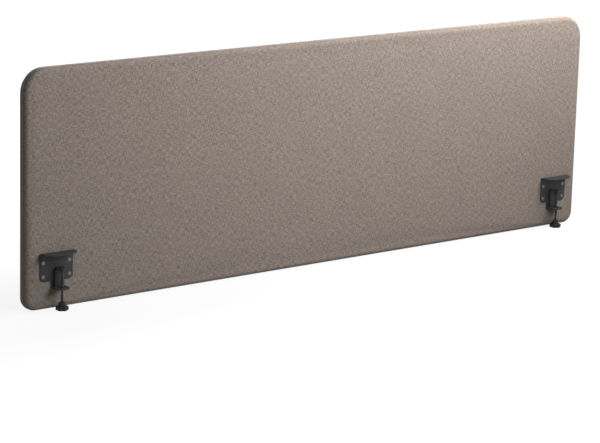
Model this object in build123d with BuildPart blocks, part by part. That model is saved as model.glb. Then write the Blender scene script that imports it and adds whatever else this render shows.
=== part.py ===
"""Clamp-on desk privacy panel: an upholstered frame with a screw clamp near each end.

Millimetres, +Z up, +X along the panel, and the desk side faces -Y. The origin is on the surface
that the panel stands on, at the middle of the whole object's footprint.
"""

import os

from build123d import *

# Panel
PANEL_LENGTH = 2000.0
PANEL_HEIGHT = 650.0
PANEL_THICKNESS = 36.0
TOP_CORNER_RADIUS = 66.0
BOTTOM_CORNER_RADIUS = 35.0
EDGE_RADIUS = 12.0

# Upholstery
COVER_THICKNESS = 1.0
SEAM_GAP = 3.0
TAPE_WIDTH = 12.0
TAPE_THICKNESS = 1.0
PADDING_AT_EDGE = 5.0

# Timber frame
FRAME_THICKNESS = 22.0
FRAME_EDGE_RADIUS = 2.0
TOP_RAIL_HEIGHT = 66.0
BOTTOM_RAIL_HEIGHT = 40.0
STILE_WIDTH = 40.0
MULLION_X = 320.0
MULLION_WIDTH = 40.0
BLOCK_WIDTH = 112.0
BLOCK_HEIGHT = 114.0
CORE_CLEARANCE = 0.5
DOWEL_RADIUS = 4.0
DOWEL_DEPTH = 25.0
DOWEL_SPACING = 20.0
GLUE_GAP = 0.02

# Clamp bracket, one bent sheet
BRACKET_X = 905.0
SHEET = 3.0
SHEET_EDGE_RADIUS = 0.4
PLATE_WIDTH = 102.0
PLATE_BOTTOM = 78.0
PLATE_CORNER_RADIUS = 13.0
FLANGE_TOP = 157.0
FLANGE_DEPTH = 43.0
FLANGE_CORNER_RADIUS = 28.0
BEND_RADIUS = 8.0
FOOT_BOTTOM = 59.0
FOOT_WIDTH = 42.0
FOOT_DEPTH = 44.0

# The screw's side of the bracket sits a little inboard of the plate's middle
SCREW_INBOARD = 3.5
SCREW_STANDOFF = 25.0

# Stiffening channel, welded between plate and foot
CHANNEL_WIDTH = 26.0
CHANNEL_DEPTH = 10.0
CHANNEL_TOP = 116.0
CHANNEL_WALL = 2.0
CHANNEL_EDGE_RADIUS = 2.5

# Fastening of the bracket to the frame
HOLE_HALF_SPACING_X = 41.0
HOLE_LOW_Z = 91.0
HOLE_HIGH_Z = 129.0
BOLT_RADIUS = 2.5
BOLT_LENGTH = 26.0
BOLT_HEAD_RADIUS = 4.8
BOLT_HEAD_SINK = 0.15
SOCKET_WIDTH = 3.0
SOCKET_DEPTH = 1.8
BOLT_HOLE_RADIUS = 2.65
COUNTERSINK_RADIUS = 5.0
INSERT_RADIUS = 4.0
INSERT_LENGTH = 12.0

# Clamp screw, swivel pad and knob
SCREW_RADIUS = 3.0
RUNNING_GAP = 0.05
NUT_ACROSS_FLATS = 10.0
NUT_HEIGHT = 5.0
PAD_TOP = 119.0
PAD_RADIUS = 8.5
FACING_THICKNESS = 1.5
PAD_DISC_THICKNESS = 3.0
PAD_BOSS_TOP_RADIUS = 7.0
PAD_BOSS_RADIUS = 4.8
PAD_BOTTOM = 105.0
SOCKET_ROOF = 113.0
END_PLAY = 0.1
KNOB_BOTTOM = 0.5
KNOB_RADIUS = 17.5
KNOB_LOBE_HEIGHT = 11.0
KNOB_LOBES = 6
KNOB_SCALLOP_RADIUS = 6.0
KNOB_SCALLOP_CENTRE = 21.0
KNOB_HUB_TOP = 22.0
KNOB_HUB_RADIUS = 10.5
KNOB_HUB_TOP_RADIUS = 8.5
KNOB_EDGE_RADIUS = 2.5
SCREW_IN_KNOB = 13.0

# The overall depth runs from the foot's tip to the panel's back face
PANEL_Y = FOOT_DEPTH / 2
MID_PLANE = Plane.XZ.offset(-PANEL_Y)
FRONT_Y = PANEL_Y - PANEL_THICKNESS / 2
PLATE_FRONT_Y = FRONT_Y - SHEET
SCREW_Y = FRONT_Y - SCREW_STANDOFF
FRAME_INSET = COVER_THICKNESS + PADDING_AT_EDGE
RAIL_UNDERSIDE = PANEL_HEIGHT - FRAME_INSET - TOP_RAIL_HEIGHT
RAIL_TOPSIDE = FRAME_INSET + BOTTOM_RAIL_HEIGHT
STILE_INNER_X = PANEL_LENGTH / 2 - FRAME_INSET - STILE_WIDTH
HOLE_MIDDLE_Z = (HOLE_LOW_Z + HOLE_HIGH_Z) / 2
HOLE_SPACING_Z = HOLE_HIGH_Z - HOLE_LOW_Z
SIDES = {"left": -1, "right": 1}

os.makedirs("parts", exist_ok=True)


def save(part, name):
    """Label a finished piece and write it as its own file."""
    part.label = name
    export_step(part, f"parts/{name}.step")


def panel_outline(inset):
    """The panel's face outline, drawn in by the same amount all round."""
    with BuildSketch() as outline:
        with Locations((0, PANEL_HEIGHT / 2)):
            Rectangle(PANEL_LENGTH - 2 * inset, PANEL_HEIGHT - 2 * inset)
        fillet(outline.vertices().group_by(Axis.Y)[-1], TOP_CORNER_RADIUS - inset)
        fillet(outline.vertices().group_by(Axis.Y)[0], BOTTOM_CORNER_RADIUS - inset)
    return outline.sketch


def slab(inset, thickness, edge_radius):
    """A solid of the panel's outline with rounded rims."""
    with BuildPart() as body:
        with BuildSketch(MID_PLANE):
            add(panel_outline(inset))
        extrude(amount=thickness / 2, both=True)
        rims = body.faces().filter_by(Axis.Y).edges()
        fillet(rims, edge_radius)
    return body.part


def bolt_bores(radius, y_front, y_back):
    """Cylinders on the axes of all eight bracket bolts, between two depths."""
    with BuildPart() as bores:
        with BuildSketch(Plane.XZ.offset(-y_front)):
            for side in SIDES.values():
                with Locations((side * BRACKET_X, HOLE_MIDDLE_Z)):
                    with GridLocations(2 * HOLE_HALF_SPACING_X, HOLE_SPACING_Z, 2, 2):
                        Circle(radius)
        extrude(amount=y_front - y_back)
    return bores.part


def beam(x_low, x_high, z_low, z_high):
    """A board of the frame's thickness on the panel's middle plane."""
    with BuildPart() as board:
        with BuildSketch(MID_PLANE):
            with Locations(((x_low + x_high) / 2, (z_low + z_high) / 2)):
                Rectangle(x_high - x_low, z_high - z_low)
        extrude(amount=FRAME_THICKNESS / 2, both=True)
    return board.part


# ---------------------------------------------------------------- timber frame
envelope = slab(FRAME_INSET, FRAME_THICKNESS, FRAME_EDGE_RADIUS)

corner_dowel_x = PANEL_LENGTH / 2 - FRAME_INSET - STILE_WIDTH / 2
dowel_centres = [-corner_dowel_x, -MULLION_X, MULLION_X, corner_dowel_x]
dowel_points = [
    (centre + offset, PANEL_Y)
    for centre in dowel_centres
    for offset in (-DOWEL_SPACING / 2, DOWEL_SPACING / 2)
]


def dowel_rods(radius, half_length):
    """Upright rods across both ends of every stile and mullion."""
    with BuildPart() as rods:
        for joint_z in (RAIL_TOPSIDE, RAIL_UNDERSIDE):
            with BuildSketch(Plane.XY.offset(joint_z - half_length)):
                with Locations(*dowel_points):
                    Circle(radius)
            extrude(amount=2 * half_length)
    return rods.part


dowel_bores = dowel_rods(DOWEL_RADIUS, DOWEL_DEPTH)
insert_bores = bolt_bores(INSERT_RADIUS, PANEL_Y - FRAME_THICKNESS / 2, PANEL_Y + INSERT_LENGTH)

with BuildPart() as frame_dowels:
    add(dowel_rods(DOWEL_RADIUS - GLUE_GAP, DOWEL_DEPTH - 1))
save(frame_dowels.part, "frame_dowels")

with BuildPart() as frame_top_rail:
    add(envelope)
    split(bisect_by=Plane.XY.offset(RAIL_UNDERSIDE), keep=Keep.TOP)
    add(dowel_bores, mode=Mode.SUBTRACT)
save(frame_top_rail.part, "frame_top_rail")

with BuildPart() as frame_bottom_rail:
    add(envelope)
    split(bisect_by=Plane.XY.offset(RAIL_TOPSIDE), keep=Keep.BOTTOM)
    add(dowel_bores, mode=Mode.SUBTRACT)
save(frame_bottom_rail.part, "frame_bottom_rail")

for name, side in SIDES.items():
    inner, outer = sorted((side * STILE_INNER_X, side * (STILE_INNER_X + STILE_WIDTH)))
    with BuildPart() as frame_stile:
        add(beam(inner, outer, RAIL_TOPSIDE, RAIL_UNDERSIDE))
        add(envelope, mode=Mode.INTERSECT)
        add(dowel_bores, mode=Mode.SUBTRACT)
    save(frame_stile.part, f"frame_{name}_stile")

    with BuildPart() as frame_mullion:
        middle = side * MULLION_X
        half = MULLION_WIDTH / 2
        add(beam(middle - half, middle + half, RAIL_TOPSIDE, RAIL_UNDERSIDE))
        add(dowel_bores, mode=Mode.SUBTRACT)
    save(frame_mullion.part, f"frame_{name}_mullion")

    low, high = sorted((side * STILE_INNER_X, side * (STILE_INNER_X - BLOCK_WIDTH)))
    block_top = RAIL_TOPSIDE + BLOCK_HEIGHT
    with BuildPart() as mount_block:
        add(beam(low, high, RAIL_TOPSIDE, block_top))
        add(insert_bores, mode=Mode.SUBTRACT)
    save(mount_block.part, f"{name}_mount_block")

    low, high = sorted((side * STILE_INNER_X, side * (MULLION_X + half)))
    gap = CORE_CLEARANCE
    block_low, block_high = sorted((side * PANEL_LENGTH, side * (STILE_INNER_X - BLOCK_WIDTH - gap)))
    with BuildPart() as core:
        add(beam(low + gap, high - gap, RAIL_TOPSIDE + gap, RAIL_UNDERSIDE - gap))
        add(beam(block_low, block_high, 0, block_top + gap), mode=Mode.SUBTRACT)
    save(core.part, f"{name}_acoustic_core")

with BuildPart() as middle_acoustic_core:
    half = MULLION_X - MULLION_WIDTH / 2 - CORE_CLEARANCE
    add(beam(-half, half, RAIL_TOPSIDE + CORE_CLEARANCE, RAIL_UNDERSIDE - CORE_CLEARANCE))
save(middle_acoustic_core.part, "middle_acoustic_core")

# ------------------------------------------------------------------ upholstery
skin_outside = slab(0, PANEL_THICKNESS, EDGE_RADIUS)
skin_inside = slab(COVER_THICKNESS, PANEL_THICKNESS - 2 * COVER_THICKNESS, EDGE_RADIUS - COVER_THICKNESS)
fabric_bores = bolt_bores(BOLT_HOLE_RADIUS, FRONT_Y - 1, PANEL_Y)

with BuildPart() as seam_tape:
    with BuildSketch(MID_PLANE):
        add(panel_outline(COVER_THICKNESS))
        add(panel_outline(COVER_THICKNESS + TAPE_THICKNESS), mode=Mode.SUBTRACT)
    extrude(amount=TAPE_WIDTH / 2, both=True)
save(seam_tape.part, "seam_tape")

with BuildPart() as seam_band:
    with BuildSketch(MID_PLANE):
        add(panel_outline(-1))
    extrude(amount=SEAM_GAP / 2, both=True)

for name, keep in {"front": Keep.TOP, "back": Keep.BOTTOM}.items():
    with BuildPart() as cover:
        add(skin_outside)
        add(skin_inside, mode=Mode.SUBTRACT)
        split(bisect_by=MID_PLANE, keep=keep)
        add(seam_band.part, mode=Mode.SUBTRACT)
        add(fabric_bores, mode=Mode.SUBTRACT)
    save(cover.part, f"{name}_cover")

    with BuildPart() as padding:
        add(skin_inside)
        add(envelope, mode=Mode.SUBTRACT)
        split(bisect_by=MID_PLANE, keep=keep)
        add(seam_tape.part, mode=Mode.SUBTRACT)
        add(fabric_bores, mode=Mode.SUBTRACT)
    save(padding.part, f"{name}_padding")

# --------------------------------------------------------------------- clamps
for name, side in SIDES.items():
    plate_x = side * BRACKET_X
    screw_x = side * (BRACKET_X - SCREW_INBOARD)
    plate_front = Plane.XZ.offset(-PLATE_FRONT_Y)
    side_profile = Plane.YZ.offset(plate_x)
    foot_profile = Plane.YZ.offset(screw_x)

    # Flange and plate are one strip, bent once; tongue and foot are cut from the same sheet.
    with BuildPart() as bracket:
        with BuildSketch(side_profile) as strip:
            with BuildLine():
                Polyline(
                    (FRONT_Y, PLATE_BOTTOM),
                    (FRONT_Y, FLANGE_TOP),
                    (FRONT_Y - FLANGE_DEPTH, FLANGE_TOP),
                    (FRONT_Y - FLANGE_DEPTH, FLANGE_TOP - SHEET),
                    (PLATE_FRONT_Y, FLANGE_TOP - SHEET),
                    (PLATE_FRONT_Y, PLATE_BOTTOM),
                    close=True,
                )
            make_face()
            fillet(strip.vertices().sort_by_distance((FRONT_Y, FLANGE_TOP))[0], BEND_RADIUS)
            inside_bend = (PLATE_FRONT_Y, FLANGE_TOP - SHEET)
            fillet(strip.vertices().sort_by_distance(inside_bend)[0], BEND_RADIUS - SHEET)
        extrude(amount=PLATE_WIDTH / 2, both=True)
        fillet(bracket.edges().filter_by(Axis.Z).group_by(Axis.Y)[0], FLANGE_CORNER_RADIUS)
        fillet(bracket.edges().filter_by(Axis.Y).group_by(Axis.Z)[0], PLATE_CORNER_RADIUS)
        with BuildSketch(foot_profile) as lower_strip:
            with BuildLine():
                Polyline(
                    (FRONT_Y, PLATE_BOTTOM + SHEET),
                    (FRONT_Y, FOOT_BOTTOM),
                    (FRONT_Y - FOOT_DEPTH, FOOT_BOTTOM),
                    (FRONT_Y - FOOT_DEPTH, FOOT_BOTTOM + SHEET),
                    (PLATE_FRONT_Y, FOOT_BOTTOM + SHEET),
                    (PLATE_FRONT_Y, PLATE_BOTTOM + SHEET),
                    close=True,
                )
            make_face()
            fillet(lower_strip.vertices().sort_by_distance((FRONT_Y, FOOT_BOTTOM))[0], 2 * SHEET)
            instep = (PLATE_FRONT_Y, FOOT_BOTTOM + SHEET)
            fillet(lower_strip.vertices().sort_by_distance(instep)[0], SHEET)
        extrude(amount=FOOT_WIDTH / 2, both=True)
        toe_edges = bracket.edges().filter_by(Axis.Z).filter_by_position(Axis.Z, 0, PLATE_BOTTOM - 1)
        fillet(toe_edges.group_by(Axis.Y)[0], FOOT_WIDTH / 2 - 1)
        fillet(bracket.edges(), SHEET_EDGE_RADIUS)
        with Locations(plate_front):
            with Locations((plate_x, HOLE_MIDDLE_Z)):
                with GridLocations(2 * HOLE_HALF_SPACING_X, HOLE_SPACING_Z, 2, 2):
                    CounterSinkHole(BOLT_HOLE_RADIUS, COUNTERSINK_RADIUS, depth=2 * SHEET)
        with Locations((screw_x, SCREW_Y, FOOT_BOTTOM)):
            Cylinder(SCREW_RADIUS + 0.5, 4 * SHEET, mode=Mode.SUBTRACT)
    save(bracket.part, f"{name}_bracket_plate")

    with BuildPart() as channel:
        with BuildSketch(plate_front):
            arch_centre = CHANNEL_TOP - CHANNEL_WIDTH / 2
            floor_z = FOOT_BOTTOM + SHEET
            with Locations((screw_x, arch_centre)):
                Circle(CHANNEL_WIDTH / 2)
            with Locations((screw_x, (arch_centre + floor_z) / 2)):
                Rectangle(CHANNEL_WIDTH, arch_centre - floor_z)
        extrude(amount=CHANNEL_DEPTH)
        fillet(channel.faces().sort_by(Axis.Y)[0].edges().group_by(Axis.Z)[1:], CHANNEL_EDGE_RADIUS)
        hollow_faces = [channel.faces().sort_by(Axis.Y)[-1], channel.faces().sort_by(Axis.Z)[0]]
        offset(amount=-CHANNEL_WALL, openings=hollow_faces)
        # The foot's bend fills the channel's lower back corner, so the channel is notched over it.
        with BuildSketch(foot_profile):
            with Locations((PLATE_FRONT_Y, floor_z)):
                Circle(SHEET + GLUE_GAP)
        extrude(amount=CHANNEL_WIDTH, both=True, mode=Mode.SUBTRACT)
    save(channel.part, f"{name}_stiffening_channel")

    with BuildPart() as foot_nut:
        with BuildSketch(Plane.XY.offset(FOOT_BOTTOM + SHEET)):
            with Locations((screw_x, SCREW_Y)):
                RegularPolygon(NUT_ACROSS_FLATS / 2, 6, major_radius=False)
                Circle(SCREW_RADIUS + RUNNING_GAP, mode=Mode.SUBTRACT)
        extrude(amount=NUT_HEIGHT)
        chamfer(foot_nut.faces().sort_by(Axis.Z)[-1].outer_wire().edges(), 0.6)
    save(foot_nut.part, f"{name}_foot_nut")

    bolt_centres = [
        (plate_x + dx, z)
        for dx in (-HOLE_HALF_SPACING_X, HOLE_HALF_SPACING_X)
        for z in (HOLE_LOW_Z, HOLE_HIGH_Z)
    ]
    head_height = BOLT_HEAD_RADIUS - BOLT_RADIUS
    head_y = PLATE_FRONT_Y + BOLT_HEAD_SINK
    with BuildPart() as bracket_bolts:
        for centre in bolt_centres:
            with BuildSketch(Plane.XZ.offset(-head_y)):
                with Locations(centre):
                    Circle(BOLT_HEAD_RADIUS)
            extrude(amount=-head_height, taper=45)
            with BuildSketch(Plane.XZ.offset(-head_y)):
                with Locations(centre):
                    Circle(BOLT_RADIUS)
            extrude(amount=-BOLT_LENGTH)
            with BuildSketch(Plane.XZ.offset(-head_y)):
                with Locations(centre):
                    RegularPolygon(SOCKET_WIDTH / 2, 6, major_radius=False)
            extrude(amount=-SOCKET_DEPTH, mode=Mode.SUBTRACT)
    save(bracket_bolts.part, f"{name}_bracket_bolts")

    with BuildPart() as threaded_inserts:
        with BuildSketch(Plane.XZ.offset(FRAME_THICKNESS / 2 - PANEL_Y)):
            with Locations(*bolt_centres):
                Circle(INSERT_RADIUS - GLUE_GAP)
                Circle(BOLT_RADIUS + GLUE_GAP, mode=Mode.SUBTRACT)
        extrude(amount=-INSERT_LENGTH)
    save(threaded_inserts.part, f"{name}_threaded_inserts")

    disc_top = PAD_TOP - FACING_THICKNESS
    disc_bottom = disc_top - PAD_DISC_THICKNESS
    with BuildPart() as pressure_pad:
        with BuildSketch(Plane.XZ.offset(-SCREW_Y)):
            with BuildLine():
                Polyline(
                    (screw_x, PAD_BOTTOM),
                    (screw_x + PAD_BOSS_RADIUS, PAD_BOTTOM),
                    (screw_x + PAD_BOSS_TOP_RADIUS, disc_bottom),
                    (screw_x + PAD_RADIUS, disc_bottom),
                    (screw_x + PAD_RADIUS, disc_top),
                    (screw_x, disc_top),
                    close=True,
                )
            make_face()
        revolve(axis=Axis((screw_x, SCREW_Y, 0), (0, 0, 1)))
        with BuildSketch(Plane.XY.offset(PAD_BOTTOM)):
            with Locations((screw_x, SCREW_Y)):
                Circle(SCREW_RADIUS + RUNNING_GAP)
        extrude(amount=SOCKET_ROOF - PAD_BOTTOM, mode=Mode.SUBTRACT)
        fillet(pressure_pad.faces().sort_by(Axis.Z)[-1].outer_wire().edges(), 0.5)
    save(pressure_pad.part, f"{name}_pressure_pad")

    with BuildPart() as pad_facing:
        with BuildSketch(Plane.XY.offset(disc_top)):
            with Locations((screw_x, SCREW_Y)):
                Circle(PAD_RADIUS - 1)
        extrude(amount=FACING_THICKNESS)
        fillet(pad_facing.faces().sort_by(Axis.Z)[-1].edges(), 0.6)
    save(pad_facing.part, f"{name}_pad_facing")

    screw_bottom = KNOB_HUB_TOP - SCREW_IN_KNOB
    with BuildPart() as clamp_screw:
        with BuildSketch(Plane.XY.offset(screw_bottom)):
            with Locations((screw_x, SCREW_Y)):
                Circle(SCREW_RADIUS)
        extrude(amount=SOCKET_ROOF - END_PLAY - screw_bottom)
        chamfer(clamp_screw.faces().sort_by(Axis.Z)[-1].edges(), 0.8)
    save(clamp_screw.part, f"{name}_clamp_screw")

    lobe_top = KNOB_BOTTOM + KNOB_LOBE_HEIGHT
    with BuildPart() as knob:
        with BuildSketch(Plane.XY.offset(KNOB_BOTTOM)) as star:
            with Locations((screw_x, SCREW_Y)):
                Circle(KNOB_RADIUS)
                with PolarLocations(KNOB_SCALLOP_CENTRE, KNOB_LOBES):
                    Circle(KNOB_SCALLOP_RADIUS, mode=Mode.SUBTRACT)
            fillet(star.vertices(), KNOB_EDGE_RADIUS)
        extrude(amount=KNOB_LOBE_HEIGHT)
        rims = knob.faces().filter_by(Axis.Z).edges()
        fillet(rims, KNOB_EDGE_RADIUS)
        with BuildSketch(Plane.XY.offset(lobe_top - KNOB_EDGE_RADIUS)):
            with Locations((screw_x, SCREW_Y)):
                Circle(KNOB_HUB_RADIUS)
        with BuildSketch(Plane.XY.offset(KNOB_HUB_TOP)):
            with Locations((screw_x, SCREW_Y)):
                Circle(KNOB_HUB_TOP_RADIUS)
        loft()
        fillet(knob.faces().sort_by(Axis.Z)[-1].edges(), 1)
        with BuildSketch(Plane.XY.offset(screw_bottom)):
            with Locations((screw_x, SCREW_Y)):
                Circle(SCREW_RADIUS + GLUE_GAP)
        extrude(amount=SCREW_IN_KNOB, mode=Mode.SUBTRACT)
    save(knob.part, f"{name}_knob")
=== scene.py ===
"""Upholstery, finishes and studio for a clamp-on desk privacy panel."""

import math

import bpy
import numpy as np
from bpy.props import FloatProperty, FloatVectorProperty, IntProperty, PointerProperty
from mathutils import Matrix, Vector


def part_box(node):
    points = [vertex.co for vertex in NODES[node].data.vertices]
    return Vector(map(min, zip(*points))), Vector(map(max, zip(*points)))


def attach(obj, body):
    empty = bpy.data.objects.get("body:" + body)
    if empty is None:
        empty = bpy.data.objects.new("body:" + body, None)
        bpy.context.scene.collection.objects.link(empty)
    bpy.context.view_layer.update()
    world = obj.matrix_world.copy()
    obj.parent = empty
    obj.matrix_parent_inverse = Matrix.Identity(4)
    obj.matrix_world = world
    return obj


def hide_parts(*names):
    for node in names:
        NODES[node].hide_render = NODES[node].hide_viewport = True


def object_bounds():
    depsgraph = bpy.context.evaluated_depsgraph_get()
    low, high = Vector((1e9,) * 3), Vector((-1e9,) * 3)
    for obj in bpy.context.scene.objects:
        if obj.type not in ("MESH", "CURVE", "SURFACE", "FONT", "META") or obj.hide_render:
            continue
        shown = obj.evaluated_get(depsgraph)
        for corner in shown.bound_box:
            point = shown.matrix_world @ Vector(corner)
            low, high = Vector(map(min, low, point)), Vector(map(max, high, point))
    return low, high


bl_info = {
    "name": "Desk Privacy Panel",
    "version": (1, 0, 0),
    "blender": (4, 5, 0),
    "location": "View3D > Sidebar > Privacy Panel",
    "description": "Upholstery, clamp finishes and studio of a desk privacy panel",
    "category": "Object",
}

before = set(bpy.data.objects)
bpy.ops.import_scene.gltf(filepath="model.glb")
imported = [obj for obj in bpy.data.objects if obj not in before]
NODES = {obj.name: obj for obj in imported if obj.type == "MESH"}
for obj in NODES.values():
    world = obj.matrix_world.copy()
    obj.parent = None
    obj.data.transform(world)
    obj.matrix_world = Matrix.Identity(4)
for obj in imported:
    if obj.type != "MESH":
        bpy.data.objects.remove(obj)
CAD_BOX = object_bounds()
SIDES = ("left", "right")
MM = 0.001
BRASS = (0.78, 0.55, 0.22)


# ------------------------------------------------------------------ node trees
class Number:
    """A number inside a node tree, so that its maths reads as an expression."""

    def __init__(self, graph, socket):
        self.graph = graph
        self.socket = socket

    def maths(self, operation, *values):
        sockets = dict(enumerate(values))
        return self.graph.node("ShaderNodeMath", {"operation": operation}, sockets)

    def __add__(self, other):
        return self.maths("ADD", self, other)

    __radd__ = __add__

    def __sub__(self, other):
        return self.maths("SUBTRACT", self, other)

    def __rsub__(self, other):
        return self.maths("SUBTRACT", other, self)

    def __mul__(self, other):
        return self.maths("MULTIPLY", self, other)

    __rmul__ = __mul__

    def __truediv__(self, other):
        return self.maths("DIVIDE", self, other)

    def __pow__(self, other):
        return self.maths("POWER", self, other)

    def __abs__(self):
        return self.maths("ABSOLUTE", self)

    def sine(self):
        return self.maths("SINE", self)

    def most(self, other):
        return self.maths("MAXIMUM", self, other)

    def within(self, low, high):
        return self.maths("MINIMUM", self.most(low), high)


class Graph:
    """Adds nodes to a shader or geometry tree."""

    def __init__(self, tree):
        self.tree = tree
        tree.nodes.clear()

    def node(self, kind, settings=None, sockets=None, output=0):
        """One node: its settings first, then the values or links of its sockets."""
        node = self.tree.nodes.new(kind)
        for name, value in (settings or {}).items():
            setattr(node, name, value)
        for key, value in (sockets or {}).items():
            if isinstance(value, Number):
                self.tree.links.new(value.socket, node.inputs[key])
            else:
                node.inputs[key].default_value = value
        if not node.outputs:
            return None
        return Number(self, node.outputs[output])


class Finish(Graph):
    """A procedural material, painted in metres on the piece."""

    def __init__(self, name):
        self.material = bpy.data.materials.new(name)
        self.material.use_nodes = True
        super().__init__(self.material.node_tree)

    def place(self, scale=(1, 1, 1), uv=None):
        """A point on the piece, from its own UV map or from the object, times a scale."""
        if uv:
            point = self.node("ShaderNodeUVMap", {"uv_map": uv})
        else:
            point = self.node("ShaderNodeTexCoord", output=3)
        return self.node("ShaderNodeMapping", None, {"Vector": point, "Scale": scale})

    def noise(self, point, scale, detail=2.0):
        sockets = {"Vector": point, "Scale": scale, "Detail": detail}
        return self.node("ShaderNodeTexNoise", None, sockets)

    def split(self, point):
        """The first two coordinates of a point."""
        parts = self.node("ShaderNodeSeparateXYZ", None, {0: point})
        return parts, Number(self, parts.socket.node.outputs[1])

    def mix(self, factor, first, second):
        """Two colours, blended."""
        sockets = {0: factor, 6: self.colour(first), 7: self.colour(second)}
        return self.node("ShaderNodeMix", {"data_type": "RGBA"}, sockets, output=2)

    def colour(self, value):
        return value if isinstance(value, Number) else (*value, 1)

    def bump(self, height, depth, strength=1.0):
        sockets = {"Height": height, "Distance": depth, "Strength": strength}
        return self.node("ShaderNodeBump", None, sockets)

    def surface(self, **sockets):
        """Ends the tree in one surface shader and gives the material."""
        named = {key.replace("_", " ").title(): value for key, value in sockets.items()}
        named = {key.replace("Ior", "IOR"): value for key, value in named.items()}
        shader = self.node("ShaderNodeBsdfPrincipled", None, named)
        self.node("ShaderNodeOutputMaterial", None, {"Surface": shader})
        return self.material


def woven_cloth(name, tone, pitch, contrast=1.0):
    """Plain weave of melange yarn on the UV map, which is in metres."""
    finish = Finish(name)
    point = finish.place(uv="weave")
    across, along = finish.split(point)
    warp = (across * (math.pi / pitch)).sine()
    weft = (along * (math.pi / pitch)).sine()
    over = (warp * weft * 3 + 0.5).within(0, 1)
    height = (abs(warp) * over).most(abs(weft) * (1 - over))
    warp_yarn = finish.noise(finish.place((1, 0.09, 1), "weave"), 1.1 / pitch, 3)
    weft_yarn = finish.noise(finish.place((0.09, 1, 1), "weave"), 1.1 / pitch, 3)
    slub = finish.noise(finish.place((1, 0.1, 1), "weave"), 0.85 / pitch, 2)
    fleck = finish.noise(finish.place((0.1, 1, 1), "weave"), 0.85 / pitch, 2)
    cloud = finish.noise(point, 9, 2)
    yarn = warp_yarn * over + weft_yarn * (1 - over)
    melange = (slub + fleck - 1) * (1.95 * contrast)
    shade = (yarn - 0.5) * (2.2 * contrast) + melange + (cloud - 0.5) * 0.15
    # The weave's height also tints the colour: yarn crowns lighter and the hollows between yarns darker,
    # which is painted shade.
    shade = (shade + 0.5 + (height - 0.6) * 0.35).within(0, 1)
    dark = tuple(c * 0.52 for c in tone)
    light = tuple(min(1, c * 1.5) for c in tone)
    relief = height + yarn * 0.6
    return finish.surface(
        base_color=finish.mix(shade, dark, light),
        roughness=0.92 - yarn * 0.12,
        normal=finish.bump(relief, 0.22 * MM, 0.7),
        sheen_weight=0.06,
        sheen_roughness=0.5,
        specular_ior_level=0.15,
    )


def powder_coat(name, tone):
    """Matt textured stoving paint: orange peel, fine grit and a little dust."""
    finish = Finish(name)
    point = finish.place()
    peel = finish.noise(point, 900, 2)
    grit = finish.noise(point, 3200, 1)
    dust = finish.noise(point, 45, 5)
    colour = finish.mix((dust * 0.9 + grit * 0.3 - 0.1).within(0, 1), tone, tuple(c * 1.9 for c in tone))
    return finish.surface(
        base_color=colour,
        roughness=0.42 + dust * 0.16 + grit * 0.08,
        normal=finish.bump(peel + grit * 0.5, 0.06 * MM, 0.6),
        specular_ior_level=0.26,
    )


def bare_metal(name, tone, roughness, stretch, scratch=700):
    """Plated or turned metal, with fine tool marks along one direction."""
    finish = Finish(name)
    marks = finish.noise(finish.place(stretch), scratch, 3)
    stain = finish.noise(finish.place(), 120, 4)
    return finish.surface(
        base_color=finish.mix((stain * 0.8 + marks * 0.3).within(0, 1), tuple(c * 0.72 for c in tone), tone),
        metallic=1.0,
        roughness=roughness + (marks - 0.5) * 0.25 + (stain - 0.5) * 0.15,
        normal=finish.bump(marks, 0.02 * MM, 0.5),
    )


def moulded(name, tone, roughness, grain, depth):
    """Moulded plastic or rubber with a spark-eroded skin."""
    finish = Finish(name)
    point = finish.place()
    spark = finish.noise(point, grain, 3)
    flow = finish.noise(point, 60, 3)
    worn = (flow * 0.7 + spark * 0.4 - 0.05).within(0, 1)
    return finish.surface(
        base_color=finish.mix(worn, tone, tuple(c * 1.8 for c in tone)),
        roughness=roughness + (spark - 0.5) * 0.2 + (flow - 0.5) * 0.1,
        normal=finish.bump(spark, depth, 0.6),
        specular_ior_level=0.2,
    )


def timber(name, tone, along, ring=130):
    """Planed wood, with its grain along one axis and rings across it."""
    finish = Finish(name)
    stretch = tuple(0.06 if axis == along else 1 for axis in "XYZ")
    point = finish.place(stretch)
    bend = finish.noise(point, 14, 3)
    rings = ((bend * ring * 0.6).sine() * 0.5 + 0.5) ** 2
    pores = finish.noise(finish.place(tuple(0.03 if axis == along else 1 for axis in "XYZ")), 900, 3)
    dark = tuple(c * 0.62 for c in tone)
    return finish.surface(
        base_color=finish.mix((rings * 0.7 + pores * 0.4).within(0, 1), tone, dark),
        roughness=0.6 + pores * 0.2,
        normal=finish.bump(pores + rings * 0.3, 0.08 * MM, 0.5),
    )


def felted(name, tone, depth):
    """Needled fibre, matt and cloudy."""
    finish = Finish(name)
    point = finish.place()
    fibre = finish.noise(point, 700, 6)
    clump = finish.noise(point, 70, 4)
    loose = (fibre * 0.7 + clump * 0.5 - 0.1).within(0, 1)
    return finish.surface(
        base_color=finish.mix(loose, tuple(c * 0.7 for c in tone), tone),
        roughness=0.96 - fibre * 0.06,
        normal=finish.bump(fibre + clump, depth, 0.8),
        sheen_weight=0.2,
    )


def paint(node, material):
    """Gives a CAD node its material."""
    slots = NODES[node].data.materials
    slots.clear()
    slots.append(material)


def bake(piece):
    """Turns a piece and its modifiers into a plain mesh."""
    view = bpy.context.evaluated_depsgraph_get()
    mesh = bpy.data.meshes.new_from_object(
        piece.evaluated_get(view), preserve_all_data_layers=True, depsgraph=view
    )
    piece.modifiers.clear()
    mesh.name = piece.name
    piece.data = mesh
    return piece


def new_piece(name, points, faces, edges=()):
    mesh = bpy.data.meshes.new(name)
    mesh.from_pydata([tuple(p) for p in points], edges, faces)
    mesh.update()
    piece = bpy.data.objects.new(name, mesh)
    bpy.context.scene.collection.objects.link(piece)
    return piece


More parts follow.
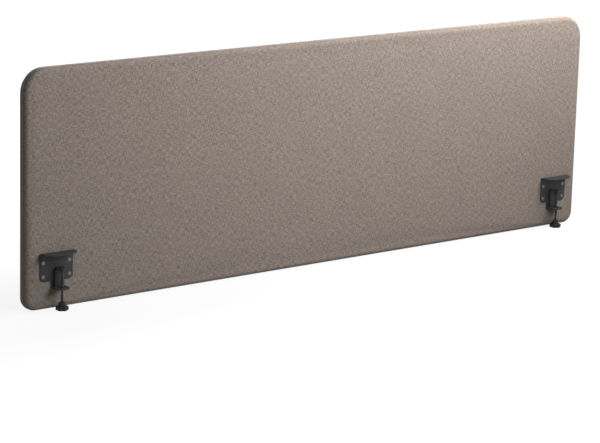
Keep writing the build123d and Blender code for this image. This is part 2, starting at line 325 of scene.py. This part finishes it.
# ---------------------------------------------------------------- the upholstery
def spread(stops, cell):
    """Values from the first stop to the last that pass through every stop, about a cell apart."""
    values = [stops[0]]
    for low, high in zip(stops, stops[1:]):
        count = max(4, round((high - low) / cell)) if high - low > cell else 3
        values += list(np.linspace(low, high, count + 1)[1:])
    return values


class Outline:
    """The flat part of the panel's face as a grid whose corners are round."""

    def __init__(self, shape):
        low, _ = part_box("front_cover")
        _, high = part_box("back_cover")
        self.middle = (low.y + high.y) / 2
        self.half_depth = (high.y - low.y) / 2
        self.edge = shape.edge_radius
        self.half = (high.x - low.x) / 2 - self.edge
        self.bottom = low.z + self.edge
        self.top = high.z - self.edge
        self.top_round = shape.top_radius - self.edge
        self.bottom_round = shape.bottom_radius - self.edge
        right = [0, self.half - self.top_round, self.half - self.bottom_round, self.half]
        half_row = spread(right, shape.cell)
        self.columns = [-x for x in half_row[:0:-1]] + half_row
        rounds = [self.bottom + self.bottom_round, self.top - self.top_round]
        self.rows = spread([self.bottom, *rounds, self.top], shape.cell)

    def rounded(self, x, z):
        """A point of the square-cornered grid, drawn into the rounded outline."""
        side = math.copysign(1, x)
        if z > self.top - self.top_round:
            radius, centre_z, up = self.top_round, self.top - self.top_round, 1
        else:
            radius, centre_z, up = self.bottom_round, self.bottom + self.bottom_round, -1
        centre_x = self.half - radius
        a = (abs(x) - centre_x) / radius
        b = up * (z - centre_z) / radius
        if a <= 0 or b <= 0:
            return x, z
        wide = a * math.sqrt(1 - b * b / 2)
        high = b * math.sqrt(1 - a * a / 2)
        return side * (centre_x + radius * wide), centre_z + up * radius * high

    def outward(self, x, z):
        """The outward direction at a point of the grid's border."""
        for radius, centre_z, up in (
            (self.top_round, self.top - self.top_round, 1),
            (self.bottom_round, self.bottom + self.bottom_round, -1),
        ):
            centre_x = self.half - radius
            if abs(x) > centre_x + 1e-7 and up * (z - centre_z) > 1e-7:
                way = Vector((x - math.copysign(centre_x, x), z - centre_z))
                return way.normalized()
        if abs(abs(x) - self.half) < 1e-6:
            return Vector((math.copysign(1, x), 0))
        return Vector((0, 1 if z > (self.top + self.bottom) / 2 else -1))

    def border(self):
        """Row and column of each border point, once round."""
        last_row, last_column = len(self.rows) - 1, len(self.columns) - 1
        path = [(0, c) for c in range(last_column)]
        path += [(r, last_column) for r in range(last_row)]
        path += [(last_row, c) for c in range(last_column, 0, -1)]
        path += [(r, 0) for r in range(last_row, 0, -1)]
        return path

    def loop(self):
        """Border points in order, each with its outward direction."""
        for row, column in self.border():
            x, z = self.rounded(self.columns[column], self.rows[row])
            yield x, z, self.outward(x, z)


def rim_rings(edge, half_depth, gap, shrink):
    """The rim's section from the face to the seam: (outward, depth, length of cloth so far)."""
    flat = half_depth - edge
    steps = 5
    rings = []
    for step in range(1, steps + 1):
        angle = math.pi / 2 * step / steps
        reach = edge - shrink
        out = reach * math.sin(angle)
        depth = flat + reach * math.cos(angle)
        rings.append((out, depth, reach * angle))
    reach, _, run = rings[-1]
    rings.append((reach, flat * 0.62, run + flat * 0.38))
    rings.append((reach - 0.15 * MM, gap + 0.6 * MM, run + flat - gap))
    rings.append((reach - 0.6 * MM, gap, run + flat - gap + 1 * MM))
    return rings


def half_skin(outline, gap, shrink, side):
    """Points, faces and UVs of one cloth: side is -1 on the desk side and 1 on the far side."""
    columns, rows = len(outline.columns), len(outline.rows)
    points, cloth = [], []
    depth = outline.half_depth - shrink
    for z in outline.rows:
        for x in outline.columns:
            px, pz = outline.rounded(x, z)
            points.append((px, outline.middle + side * depth, pz))
            cloth.append((px, pz))
    faces = [
        (r * columns + c, r * columns + c + 1, (r + 1) * columns + c + 1, (r + 1) * columns + c)
        for r in range(rows - 1)
        for c in range(columns - 1)
    ]
    inner = [r * columns + c for r, c in outline.border()]
    around = list(outline.loop())
    for out, ring_depth, run in rim_rings(outline.edge, outline.half_depth, gap, shrink):
        ring = range(len(points), len(points) + len(around))
        for x, z, way in around:
            points.append((x + way.x * out, outline.middle + side * ring_depth, z + way.y * out))
            cloth.append((x + way.x * run, z + way.y * run))
        following = [*ring[1:], ring[0]]
        faces += list(zip(inner, ring, following, [*inner[1:], inner[0]]))
        inner = list(ring)
    if side > 0:
        faces = [face[::-1] for face in faces]
    return points, faces, cloth, inner


def swell(piece, held, pressure, most, frames):
    """Lets the cloth swell outwards under pressure, each point by no more than the most it may move."""
    start = np.array([v.co for v in piece.data.vertices])
    outward = np.array([v.normal for v in piece.data.vertices])
    group = piece.vertex_groups.new(name="held")
    group.add(held, 1.0, "REPLACE")
    cloth = piece.modifiers.new("cloth", "CLOTH")
    cloth.settings.quality = 5
    cloth.settings.mass = 0.3
    cloth.settings.use_pressure = True
    cloth.settings.uniform_pressure_force = pressure
    cloth.settings.vertex_group_mass = "held"
    cloth.settings.effector_weights.gravity = 0
    scene = bpy.context.scene
    for step in range(1, frames + 1):
        scene.frame_set(step)
    view = bpy.context.evaluated_depsgraph_get()
    swollen = np.array([v.co for v in piece.evaluated_get(view).data.vertices])
    scene.frame_set(1)
    piece.modifiers.clear()
    piece.vertex_groups.clear()
    move = swollen - start
    length = np.linalg.norm(move, axis=1, keepdims=True)
    move *= most * np.tanh(length / most) / np.maximum(length, 1e-9)
    inward = np.minimum(0, (move * outward).sum(axis=1, keepdims=True))
    return start + move - inward * outward


def pressed_boxes(margin, tongue=15 * MM):
    """Lowest and highest corners of the cloth that each bracket presses on."""
    boxes = []
    for side in SIDES:
        low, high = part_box(f"{side}_bracket_plate")
        boxes.append((low.x - margin, low.z + tongue, high.x + margin, high.z + margin))
    return boxes


def is_pressed(point, boxes):
    """True where a bracket presses on the cloth."""
    return any(x0 < point[0] < x1 and z0 < point[2] < z1 for x0, z0, x1, z1 in boxes)


class CoverSettings(bpy.types.PropertyGroup):
    """Sizes and colours of the upholstery."""

    top_radius: FloatProperty(
        name="Top corner", description="Radius of the upper corners", default=0.066, unit="LENGTH"
    )
    bottom_radius: FloatProperty(
        name="Bottom corner", description="Radius of the lower corners", default=0.035, unit="LENGTH"
    )
    edge_radius: FloatProperty(
        name="Rim rounding", description="Radius from the face into the rim", default=0.012, unit="LENGTH"
    )
    cell: FloatProperty(
        name="Cell", description="Spacing of the cloth's grid", default=0.014, unit="LENGTH"
    )
    shrink: FloatProperty(
        name="Tailoring", description="How much smaller the cloth is cut", default=0.0002, unit="LENGTH"
    )
    most_swell: FloatProperty(
        name="Most swell", description="The most that the cloth stands out", default=0.0018, unit="LENGTH"
    )
    pressure: FloatProperty(
        name="Pressure", description="Pressure of the wadding on the cloth", default=4.0
    )
    frames: IntProperty(name="Frames", description="Length of the cloth simulation", default=20)
    press_margin: FloatProperty(
        name="Press margin", description="Cloth held down beyond a bracket", default=0.003, unit="LENGTH"
    )
    seam_gap: FloatProperty(
        name="Half seam", description="Half the gap between the two cloths", default=0.0018, unit="LENGTH"
    )
    thickness: FloatProperty(
        name="Cloth", description="Thickness of the cloth", default=0.001, unit="LENGTH"
    )
    yarn_pitch: FloatProperty(
        name="Yarn pitch", description="Distance between two yarns", default=0.0011, unit="LENGTH"
    )
    tone: FloatVectorProperty(
        name="Cloth colour",
        description="Colour of the melange cloth",
        default=(0.252, 0.208, 0.178),
        subtype="COLOR",
    )


class DESK_PANEL_OT_cover(bpy.types.Operator):
    """Upholsters both sides of the panel"""

    bl_idname = "desk_panel.cover"
    bl_label = "Upholster Panel"

    def execute(self, context):
        settings = context.scene.desk_panel_cover
        outline = Outline(settings)
        halves = [half_skin(outline, settings.seam_gap, settings.shrink, side) for side in (-1, 1)]
        count = len(halves[0][0])
        points = halves[0][0] + halves[1][0]
        faces = halves[0][1] + [tuple(i + count for i in face) for face in halves[1][1]]
        front_seam, back_seam = halves[0][3], [i + count for i in halves[1][3]]
        bridge = zip(front_seam, back_seam, [*back_seam[1:], back_seam[0]], [*front_seam[1:], front_seam[0]])
        skin = new_piece("whole_skin", points, faces + list(bridge))
        held = front_seam + back_seam
        boxes = pressed_boxes(settings.press_margin)
        held += [i for i, point in enumerate(points[:count]) if is_pressed(point, boxes)]
        shape = np.array(points)
        shape = swell(skin, held, settings.pressure, settings.most_swell, settings.frames)
        shape[:, 2] = np.maximum(shape[:, 2], CAD_BOX[0][2])
        bpy.data.objects.remove(skin)
        material = woven_cloth("melange_weave", settings.tone, settings.yarn_pitch)
        for name, (_, side_faces, cloth, _), first in zip(("front", "back"), halves, (0, count)):
            piece = new_piece(f"{name}_upholstery", shape[first : first + count], side_faces)
            weave = piece.data.uv_layers.new(name="weave")
            for corner in piece.data.loops:
                weave.data[corner.index].uv = cloth[corner.vertex_index]
            piece.data.shade_smooth()
            piece.data.materials.append(material)
            wall = piece.modifiers.new("wall", "SOLIDIFY")
            wall.thickness = settings.thickness
            wall.offset = -1
            smooth = piece.modifiers.new("smooth", "SUBSURF")
            smooth.levels = smooth.render_levels = 1
            bake(piece)
            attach(piece, "panel")
            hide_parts(f"{name}_cover")
        return {"FINISHED"}


# ----------------------------------------------------------------------- the seam
class SeamSettings(bpy.types.PropertyGroup):
    """Sizes and colours of the closing tape and its stitches."""

    width: FloatProperty(
        name="Tape width", description="Width of the closing tape", default=0.012, unit="LENGTH"
    )
    bead: FloatProperty(
        name="Bead width", description="Width of the bead between the cloths", default=0.0026, unit="LENGTH"
    )
    sink: FloatProperty(
        name="Sink", description="Depth of the bead below the rim", default=0.0007, unit="LENGTH"
    )
    wing_depth: FloatProperty(
        name="Wing depth", description="Depth of the tape's flat edges", default=0.00125, unit="LENGTH"
    )
    stitch_pitch: FloatProperty(
        name="Stitch pitch", description="Distance from stitch to stitch", default=0.004, unit="LENGTH"
    )
    stitch_length: FloatProperty(
        name="Stitch length", description="Length of one stitch", default=0.0032, unit="LENGTH"
    )
    thread: FloatProperty(
        name="Thread", description="Thickness of the thread", default=0.0011, unit="LENGTH"
    )
    # The tape's tone is about twice as light as the cloth's: partly the tape's own colour, partly a painted
    # highlight for the light line along the rim.
    tone: FloatVectorProperty(
        name="Tape colour", description="Colour of the tape", default=(0.5, 0.43, 0.37), subtype="COLOR"
    )
    thread_tone: FloatVectorProperty(
        name="Thread colour", description="Colour of the thread", default=(0.62, 0.55, 0.48), subtype="COLOR"
    )


def geometry_tree(name, inputs):
    """An empty geometry tree with named number inputs. Gives its graph and its sockets by name."""
    tree = bpy.data.node_groups.new(name, "GeometryNodeTree")
    tree.interface.new_socket("Geometry", in_out="INPUT", socket_type="NodeSocketGeometry")
    for label, kind in inputs.items():
        tree.interface.new_socket(label, in_out="INPUT", socket_type=kind)
    tree.interface.new_socket("Geometry", in_out="OUTPUT", socket_type="NodeSocketGeometry")
    graph = Graph(tree)
    start = graph.node("NodeGroupInput").socket.node
    return graph, {s.name: Number(graph, s) for s in start.outputs if s.name}


def finish_tree(graph, shape, material):
    """Ends a geometry tree in real geometry with its material."""
    real = graph.node("GeometryNodeRealizeInstances", None, {0: shape})
    coated = graph.node("GeometryNodeSetMaterial", None, {"Geometry": real, "Material": material})
    graph.node("NodeGroupOutput", None, {0: coated})
    return graph.tree


def run_tree(piece, tree, values):
    """Runs a geometry tree on a piece with the given inputs and makes the result a plain mesh."""
    modifier = piece.modifiers.new(tree.name, "NODES")
    modifier.node_group = tree
    for item in tree.interface.items_tree:
        if item.name in values:
            modifier[item.identifier] = values[item.name]
    return bake(piece)


def stitch_tree(material):
    """Stitches laid end to end along a line."""
    inputs = {"Pitch": "NodeSocketFloat", "Length": "NodeSocketFloat", "Thread": "NodeSocketFloat"}
    graph, given = geometry_tree("stitches", inputs)
    line = graph.node("GeometryNodeMeshToCurve", None, {0: given["Geometry"]})
    sockets = {"Curve": line, "Length": given["Pitch"]}
    places = graph.node("GeometryNodeCurveToPoints", {"mode": "LENGTH"}, sockets)
    tangent = Number(graph, places.socket.node.outputs["Tangent"])
    turn = graph.node("FunctionNodeAlignRotationToVector", {"axis": "Z"}, {"Vector": tangent})
    ball = graph.node("GeometryNodeMeshUVSphere", None, {"Segments": 6, "Rings": 4, "Radius": 0.5})
    thread = given["Thread"]
    sockets = {"X": thread, "Y": thread, "Z": given["Length"]}
    size = graph.node("ShaderNodeCombineXYZ", None, sockets)
    sockets = {"Points": places, "Instance": ball, "Rotation": turn, "Scale": size}
    stitches = graph.node("GeometryNodeInstanceOnPoints", None, sockets)
    return finish_tree(graph, stitches, material)


class DESK_PANEL_OT_seam(bpy.types.Operator):
    """Lays the closing tape and its stitches round the rim"""

    bl_idname = "desk_panel.seam"
    bl_label = "Sew Seam"

    def execute(self, context):
        settings = context.scene.desk_panel_seam
        outline = Outline(context.scene.desk_panel_cover)
        crown = outline.edge - settings.sink
        half = settings.width / 2
        bead_foot = settings.bead / 2 * 1.3
        bead_shoulder = settings.bead / 2 * 0.85
        shoulder = crown - 0.35 * MM
        wing = outline.edge - settings.wing_depth
        under = wing - 0.7 * MM
        section = [
            (wing, half),
            (wing, bead_foot),
            (shoulder, bead_shoulder),
            (crown, 0),
            (shoulder, -bead_shoulder),
            (wing, -bead_foot),
            (wing, -half),
            (under, -half),
            (under, half),
        ]
        around = list(outline.loop())
        points = []
        for x, z, way in around:
            for out, depth in section:
                points.append((x + way.x * out, outline.middle + depth, z + way.y * out))
        size = len(section)
        total = len(around)
        faces = []
        for i in range(total):
            for j in range(size):
                here, there = i * size, (i + 1) % total * size
                k = (j + 1) % size
                faces.append((there + j, there + k, here + k, here + j))
        tape = new_piece("seam_closing_tape", points, faces)
        runs = np.cumsum([0] + [
            math.hypot(b[0] - a[0], b[1] - a[1]) for a, b in zip(around, around[1:] + around[:1])
        ])
        weave = tape.data.uv_layers.new(name="weave")
        for face_index, polygon in enumerate(tape.data.polygons):
            i, j = divmod(face_index, size)
            spots = [(i + 1, j), (i + 1, j + 1), (i, j + 1), (i, j)]
            for corner, (run, place) in zip(polygon.loop_indices, spots):
                weave.data[corner].uv = (runs[run], place * settings.width / size)
        tape.data.shade_smooth()
        # Besides the tape's colour, its lighter tone carries a painted highlight along the rim.
        tape.data.materials.append(woven_cloth("woven_tape", settings.tone, 0.6 * MM, 0.6))
        smooth = tape.modifiers.new("smooth", "SUBSURF")
        smooth.levels = smooth.render_levels = 1
        bake(tape)
        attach(tape, "panel")
        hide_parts("seam_tape")

        lift = crown - 0.1 * MM
        line = [(x + way.x * lift, outline.middle, z + way.y * lift) for x, z, way in around]
        edges = [(i, (i + 1) % total) for i in range(total)]
        stitches = new_piece("seam_stitches", line, [], edges)
        thread = moulded("sewing_thread", settings.thread_tone, 0.7, 2600, 0.04 * MM)
        values = {
            "Pitch": settings.stitch_pitch,
            "Length": settings.stitch_length,
            "Thread": settings.thread,
        }
        run_tree(stitches, stitch_tree(thread), values)
        stitches.data.shade_smooth()
        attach(stitches, "panel")
        return {"FINISHED"}


# ---------------------------------------------------------------- the clamp screws
class ScrewSettings(bpy.types.PropertyGroup):
    """Sizes of the clamp screws."""

    pitch: FloatProperty(
        name="Thread pitch", description="Rise of the thread in one turn", default=0.001, unit="LENGTH"
    )
    crest: FloatProperty(
        name="Thread depth", description="Height of the thread", default=0.00055, unit="LENGTH"
    )
    steps: IntProperty(name="Steps", description="Points in one turn of the thread", default=20)
    tone: FloatVectorProperty(
        name="Steel colour",
        description="Black oxide on the screw",
        default=(0.045, 0.045, 0.048),
        subtype="COLOR",
    )


def thread_tree(material):
    """A rod with a right-hand thread round it, standing on the XY plane."""
    inputs = {
        "Radius": "NodeSocketFloat",
        "Depth": "NodeSocketFloat",
        "Height": "NodeSocketFloat",
        "Pitch": "NodeSocketFloat",
        "Steps": "NodeSocketInt",
    }
    graph, given = geometry_tree("threaded_rod", inputs)
    radius, depth, height = given["Radius"], given["Depth"], given["Height"]
    core_radius = radius - depth
    crest = depth / 1.5
    sockets = {
        "Resolution": given["Steps"],
        "Rotations": height / given["Pitch"],
        "Start Radius": core_radius + crest / 2,
        "End Radius": core_radius + crest / 2,
        "Height": height,
        "Reverse": False,
    }
    helix = graph.node("GeometryNodeCurveSpiral", None, sockets)
    ridge = graph.node("GeometryNodeCurvePrimitiveCircle", None, {"Resolution": 4, "Radius": crest})
    sockets = {"Curve": helix, "Profile Curve": ridge, "Fill Caps": True}
    thread = graph.node("GeometryNodeCurveToMesh", None, sockets)
    sockets = {"Vertices": 32, "Radius": core_radius + crest * 0.25, "Depth": height}
    core = graph.node("GeometryNodeMeshCylinder", None, sockets)
    lift = graph.node("ShaderNodeCombineXYZ", None, {"Z": height / 2})
    core = graph.node("GeometryNodeTransform", None, {"Geometry": core, "Translation": lift})
    joined = graph.node("GeometryNodeJoinGeometry", None, {0: core})
    graph.tree.links.new(thread.socket, joined.socket.node.inputs[0])
    return finish_tree(graph, joined, material)


class DESK_PANEL_OT_screws(bpy.types.Operator):
    """Cuts the threads of the clamp screws"""

    bl_idname = "desk_panel.screws"
    bl_label = "Cut Clamp Screws"

    def execute(self, context):
        settings = context.scene.desk_panel_screws
        steel = bare_metal("black_oxide", settings.tone, 0.38, (1, 1, 0.1))
        tree = thread_tree(steel)
        for side in SIDES:
            low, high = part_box(f"{side}_clamp_screw")
            radius = (high.x - low.x) / 2
            screw = new_piece(f"{side}_threaded_screw", [(0, 0, 0)], [])
            values = {
                "Radius": radius,
                "Depth": settings.crest,
                "Height": high.z - low.z,
                "Pitch": settings.pitch,
                "Steps": settings.steps,
            }
            run_tree(screw, tree, values)
            place = ((low.x + high.x) / 2, (low.y + high.y) / 2, low.z)
            screw.data.transform(Matrix.Translation(place))
            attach(screw, f"{side}_screw")
            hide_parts(f"{side}_clamp_screw")
        return {"FINISHED"}


# ----------------------------------------------------------------------- finishes
class FinishSettings(bpy.types.PropertyGroup):
    """Colours of the pieces that keep their shape."""

    coat: FloatVectorProperty(
        name="Powder coat",
        description="Colour of the brackets",
        default=(0.021, 0.0213, 0.022),
        subtype="COLOR",
    )
    knob: FloatVectorProperty(
        name="Knob", description="Colour of the knobs", default=(0.011, 0.011, 0.012), subtype="COLOR"
    )
    # The zinc's tone is kept well darker than plated zinc, partly to carry painted shade of the countersinks
    # the bolts sit in.
    zinc: FloatVectorProperty(
        name="Zinc", description="Colour of the bolts", default=(0.19, 0.19, 0.186), subtype="COLOR"
    )
    softwood: FloatVectorProperty(
        name="Softwood", description="Colour of the frame", default=(0.62, 0.43, 0.25), subtype="COLOR"
    )
    beech: FloatVectorProperty(
        name="Beech", description="Colour of blocks and dowels", default=(0.5, 0.3, 0.16), subtype="COLOR"
    )
    felt: FloatVectorProperty(
        name="Felt", description="Colour of the acoustic boards", default=(0.3, 0.3, 0.29), subtype="COLOR"
    )
    wadding: FloatVectorProperty(
        name="Wadding", description="Colour of the wadding", default=(0.78, 0.77, 0.72), subtype="COLOR"
    )


class DESK_PANEL_OT_clamp_finish(bpy.types.Operator):
    """Paints and plates the clamps"""

    bl_idname = "desk_panel.clamp_finish"
    bl_label = "Finish Clamps"

    def execute(self, context):
        settings = context.scene.desk_panel_finish
        coat = powder_coat("anthracite_powder_coat", settings.coat)
        finishes = {
            "bracket_plate": coat,
            "stiffening_channel": coat,
            "foot_nut": coat,
            # Bolts: darkened zinc, partly painted shade of their countersinks.
            "bracket_bolts": bare_metal("bright_zinc", settings.zinc, 0.4, (1, 0.2, 1)),
            "pressure_pad": powder_coat("pad_lacquer", settings.knob),
            "pad_facing": moulded("nitrile", settings.knob, 0.75, 1500, 0.05 * MM),
            "knob": moulded("moulded_nylon", settings.knob, 0.5, 1800, 0.06 * MM),
            "threaded_inserts": bare_metal("turned_brass", BRASS, 0.3, (1, 0.2, 1)),
        }
        for side in SIDES:
            for node, material in finishes.items():
                paint(f"{side}_{node}", material)
        return {"FINISHED"}


class DESK_PANEL_OT_inner_finish(bpy.types.Operator):
    """Finishes the timber, boards and wadding inside the cloth"""

    bl_idname = "desk_panel.inner_finish"
    bl_label = "Finish Inside"

    def execute(self, context):
        settings = context.scene.desk_panel_finish
        rail = timber("softwood_rail", settings.softwood, "X")
        post = timber("softwood_post", settings.softwood, "Z")
        beech = timber("beech", settings.beech, "Z", 240)
        felt = felted("pressed_felt", settings.felt, 0.3 * MM)
        wadding = felted("polyester_wadding", settings.wadding, 0.8 * MM)
        paint("frame_top_rail", rail)
        paint("frame_bottom_rail", rail)
        paint("frame_dowels", beech)
        paint("middle_acoustic_core", felt)
        paint("front_padding", wadding)
        paint("back_padding", wadding)
        for side in SIDES:
            paint(f"frame_{side}_stile", post)
            paint(f"frame_{side}_mullion", post)
            paint(f"{side}_mount_block", beech)
            paint(f"{side}_acoustic_core", felt)
        return {"FINISHED"}


# ------------------------------------------------------------------------- studio
class StageSettings(bpy.types.PropertyGroup):
    """Camera, lights and backdrop."""

    azimuth: FloatProperty(
        name="Azimuth",
        description="Camera's turn about the panel",
        default=math.radians(-38.226),
        subtype="ANGLE",
    )
    elevation: FloatProperty(
        name="Elevation", description="Camera's height angle", default=math.radians(13.262), subtype="ANGLE"
    )
    roll: FloatProperty(name="Roll", description="Camera's roll", default=math.radians(1.53), subtype="ANGLE")
    distance: FloatProperty(
        name="Distance", description="From camera to panel", default=6.931, unit="LENGTH"
    )
    slide_right: FloatProperty(
        name="Slide right", description="Camera's move to its right", default=-0.06185, unit="LENGTH"
    )
    slide_up: FloatProperty(
        name="Slide up", description="Camera's move upwards", default=-0.1984, unit="LENGTH"
    )
    lens: FloatProperty(name="Lens", description="Focal length in millimetres", default=145.32)
    key_power: FloatProperty(name="Key light", description="Power in watts", default=27.0)
    top_power: FloatProperty(name="Top light", description="Power in watts", default=38.0)
    back_power: FloatProperty(name="Back light", description="Power in watts", default=55.0)
    world: FloatProperty(name="Room light", description="Brightness all round", default=0.16)


def area_light(name, place, aim, size, power):
    """A soft square light that looks at a point."""
    light = bpy.data.lights.new(name, "AREA")
    light.size = size
    light.energy = power
    lamp = bpy.data.objects.new(name, light)
    bpy.context.scene.collection.objects.link(lamp)
    lamp.location = place
    lamp.visible_camera = False
    lamp.rotation_euler = (Vector(aim) - Vector(place)).to_track_quat("-Z", "Y").to_euler()
    return lamp


def backdrop():
    """A pale floor that curves up all round into a wall."""
    radius, bend, wall = 14.0, 4.0, 9.0
    section = [(0, 0), (radius * 0.5, 0), (radius - bend, 0)]
    steps = 12
    for step in range(1, steps + 1):
        angle = math.pi / 2 * step / steps
        section.append((radius - bend + bend * math.sin(angle), bend - bend * math.cos(angle)))
    section.append((radius, wall))
    around = 64
    floor = CAD_BOX[0][2]
    points = [(0, 0, floor)]
    for out, up in section[1:]:
        for step in range(around):
            angle = math.tau * step / around
            points.append((out * math.cos(angle), out * math.sin(angle), floor + up))
    faces = [(0, 1 + i, 1 + (i + 1) % around) for i in range(around)]
    for ring in range(len(section) - 2):
        here, there = 1 + ring * around, 1 + (ring + 1) * around
        for i in range(around):
            k = (i + 1) % around
            faces.append((here + i, there + i, there + k, here + k))
    sweep = new_piece("studio_sweep", points, faces)
    sweep.data.shade_smooth()
    finish = Finish("studio_paper")
    diffuse = finish.node("ShaderNodeBsdfDiffuse", None, {"Color": (0.12, 0.12, 0.12, 1)})
    # The glow is dimmer close to the panel's plane than far off, so the floor round the panel is darker:
    # painted shade.
    _, away = finish.split(finish.place())
    far = ((abs(away) - 0.2) / 0.6).within(0, 1)
    tone = finish.mix(far, (0.86, 0.86, 0.865), (1, 1, 1))
    glow = finish.node("ShaderNodeEmission", None, {"Color": tone, "Strength": 1.0})
    both = finish.node("ShaderNodeAddShader", None, {0: diffuse, 1: glow})
    finish.node("ShaderNodeOutputMaterial", None, {"Surface": both})
    sweep.data.materials.append(finish.material)
    sweep.visible_diffuse = False
    sweep.visible_shadow = False


class DESK_PANEL_OT_stage(bpy.types.Operator):
    """Sets up the floor, the lights and the camera"""

    bl_idname = "desk_panel.stage"
    bl_label = "Set Up Studio"

    def execute(self, context):
        settings = context.scene.desk_panel_stage
        scene = context.scene
        backdrop()
        area_light("key_light", (0.05, -1.55, 1.3), (-0.7, 0, 0.3), 1.1, settings.key_power)
        area_light("top_light", (1.2, -0.48, 1.5), (-0.55, 0, 0.55), 1.0, settings.top_power)
        area_light("back_light", (0.3, 2.6, 1.4), (0, 0, 0.3), 1.6, settings.back_power)
        world = bpy.data.worlds.new("studio_room")
        scene.world = world
        world.use_nodes = True
        room = Graph(world.node_tree)
        sockets = {"Color": (1, 1, 1, 1), "Strength": settings.world}
        light = room.node("ShaderNodeBackground", None, sockets)
        room.node("ShaderNodeOutputWorld", None, {"Surface": light})

        azimuth, elevation, roll = settings.azimuth, settings.elevation, settings.roll
        low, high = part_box("front_cover")[0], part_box("back_cover")[1]
        aim = Vector((0, (low.y + high.y) / 2, (low.z + high.z) / 2))
        back = Vector(
            (
                math.sin(azimuth) * math.cos(elevation),
                -math.cos(azimuth) * math.cos(elevation),
                math.sin(elevation),
            )
        )
        level = (-back).cross(Vector((0, 0, 1))).normalized()
        upward = level.cross(-back)
        right = level * math.cos(roll) + upward * math.sin(roll)
        up = -level * math.sin(roll) + upward * math.cos(roll)
        place = aim + back * settings.distance + right * settings.slide_right + up * settings.slide_up
        camera = bpy.data.objects.new("studio_camera", bpy.data.cameras.new("studio_camera"))
        scene.collection.objects.link(camera)
        camera.matrix_world = Matrix.Translation(place) @ Matrix((right, up, back)).transposed().to_4x4()
        camera.data.lens = settings.lens
        camera.data.sensor_width = 36.0
        camera.data.sensor_fit = "HORIZONTAL"
        camera.data.clip_end = 100.0
        scene.camera = camera
        scene.view_settings.view_transform = "Standard"
        return {"FINISHED"}


class DESK_PANEL_PT_sidebar(bpy.types.Panel):
    """The steps of the panel, in order"""

    bl_label = "Desk Privacy Panel"
    bl_space_type = "VIEW_3D"
    bl_region_type = "UI"
    bl_category = "Privacy Panel"

    def draw(self, context):
        for operator in OPERATORS:
            self.layout.operator(operator.bl_idname)
        for name in SETTINGS:
            group = getattr(context.scene, name)
            box = self.layout.box()
            for field in group.bl_rna.properties.keys()[2:]:
                box.prop(group, field)


SETTINGS = {
    "desk_panel_cover": CoverSettings,
    "desk_panel_seam": SeamSettings,
    "desk_panel_screws": ScrewSettings,
    "desk_panel_finish": FinishSettings,
    "desk_panel_stage": StageSettings,
}
OPERATORS = (
    DESK_PANEL_OT_cover,
    DESK_PANEL_OT_seam,
    DESK_PANEL_OT_screws,
    DESK_PANEL_OT_clamp_finish,
    DESK_PANEL_OT_inner_finish,
    DESK_PANEL_OT_stage,
)


def register():
    for name, group in SETTINGS.items():
        bpy.utils.register_class(group)
        setattr(bpy.types.Scene, name, PointerProperty(type=group))
    for operator in OPERATORS:
        bpy.utils.register_class(operator)
    bpy.utils.register_class(DESK_PANEL_PT_sidebar)


def unregister():
    bpy.utils.unregister_class(DESK_PANEL_PT_sidebar)
    for operator in reversed(OPERATORS):
        bpy.utils.unregister_class(operator)
    for name, group in SETTINGS.items():
        delattr(bpy.types.Scene, name)
        bpy.utils.unregister_class(group)


def main():
    register()
    bpy.ops.desk_panel.cover()
    bpy.ops.desk_panel.seam()
    bpy.ops.desk_panel.screws()
    bpy.ops.desk_panel.clamp_finish()
    bpy.ops.desk_panel.inner_finish()
    bpy.ops.desk_panel.stage()


if __name__ == "__main__":
    main()
